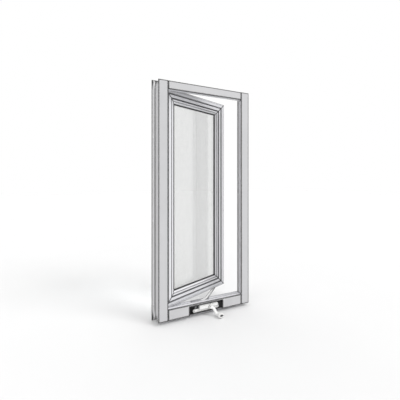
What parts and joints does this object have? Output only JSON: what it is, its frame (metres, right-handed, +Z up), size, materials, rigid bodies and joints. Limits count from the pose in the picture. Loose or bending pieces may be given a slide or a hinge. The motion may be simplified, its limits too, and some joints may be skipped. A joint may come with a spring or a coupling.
{
  "type": "casement window",
  "caption": "Outward-opening casement window: glazed sash hinged in a finned frame, with a worm-gear operator, track arm and crank at the sill.",
  "frame": {"origin": "middle of the sill's underside, in the plane of the sash hinge", "axes": "+X to the right as seen from the room, +Y outdoors, +Z up"},
  "size_m": [0.572, 0.2922, 1.2536],
  "materials": {
    "frame_paint": "satin powder coat, light grey",
    "sash_paint": "satin powder coat, pale grey white",
    "glass": "clear float glass",
    "seal": "black extruded rubber",
    "spacer": "mill-finish spacer",
    "fin": "white extruded vinyl",
    "liner": "black moulded plastic",
    "hardware_white": "white enamel on die casting",
    "steel": "zinc-plated steel",
    "casting": "bare die casting",
    "bronze": "sintered bronze",
    "nylon": "natural nylon"
  },
  "bodies": {
    "frame": {"face_trim_head": "frame_paint", "face_trim_left": "frame_paint", "face_trim_right": "frame_paint", "face_trim_sill": "frame_paint", "frame_corner_screws": "steel", "frame_head": "frame_paint", "frame_jamb_left": "frame_paint", "frame_jamb_right": "frame_paint", "frame_sill": "sash_paint", "hinge_bracket_bottom": "steel", "hinge_bracket_screws": "steel", "hinge_bracket_top": "steel", "hinge_pins": "steel", "jamb_end_caps": "liner", "nail_fin_head": "fin", "nail_fin_left": "fin", "nail_fin_right": "fin", "nail_fin_sill": "fin", "operator_base": "hardware_white", "operator_base_screws": "steel", "operator_cover": "hardware_white", "operator_plate": "steel", "operator_plate_screws": "steel", "operator_shell": "casting", "pivot_pin": "steel", "recess_liner": "liner", "stop_head": "sash_paint", "stop_left": "sash_paint", "stop_right": "sash_paint", "stop_sill": "sash_paint", "weatherstrips": "seal", "worm_bushes": "bronze"},
    "sash": {"glass_inner": "glass", "glass_outer": "glass", "glass_spacer": "spacer", "glazing_bead_bottom": "sash_paint", "glazing_bead_hinge": "sash_paint", "glazing_bead_lock": "sash_paint", "glazing_bead_top": "sash_paint", "glazing_gasket": "seal", "glazing_tape": "seal", "hinge_bushes": "nylon", "sash_corner_keys": "casting", "sash_rail_bottom": "sash_paint", "sash_rail_top": "sash_paint", "sash_stile_hinge": "sash_paint", "sash_stile_lock": "sash_paint", "sash_track": "steel", "sash_track_screws": "steel", "setting_blocks": "seal"},
    "arm": {"operator_arm": "hardware_white", "sector_gear": "steel", "roller_stud": "steel"},
    "roller": {"track_roller": "nylon"},
    "crank": {"worm_shaft": "steel", "crank_handle": "hardware_white", "crank_set_screw": "steel", "knob_pin": "steel"},
    "knob": {"crank_knob": "hardware_white"}
  },
  "joints": [
    {"name": "sash_hinge", "type": "hinge", "parent": "frame", "child": "sash", "pos_m": [-0.226, 0, 0.6], "axis": [0, 0, 1], "range_deg": [-20.5, 39.5]},
    {"name": "arm_pivot", "type": "hinge", "parent": "frame", "child": "arm", "pos_m": [-0.018, 0, 0.038], "axis": [0, 0, 1], "range_deg": [-41, 79]},
    {"name": "roller_spin", "type": "hinge", "parent": "arm", "child": "roller", "pos_m": [0.13898, 0.13646, 0.049], "axis": [0, 0, 1], "continuous": true},
    {"name": "crank_turn", "type": "hinge", "parent": "frame", "child": "crank", "pos_m": [0.01576, 0, 0.017], "axis": [0, -0.9848, 0.1736], "range_deg": [-2212, 1148]},
    {"name": "knob_spin", "type": "hinge", "parent": "crank", "child": "knob", "pos_m": [0.05466, -0.10055, -0.00617], "axis": [0, -0.9848, 0.1736], "continuous": true}
  ],
  "couplings": [
    {"joint": "arm_pivot", "follows": "sash_hinge", "ratio": 2},
    {"joint": "crank_turn", "follows": "sash_hinge", "ratio": -56}
  ]
}
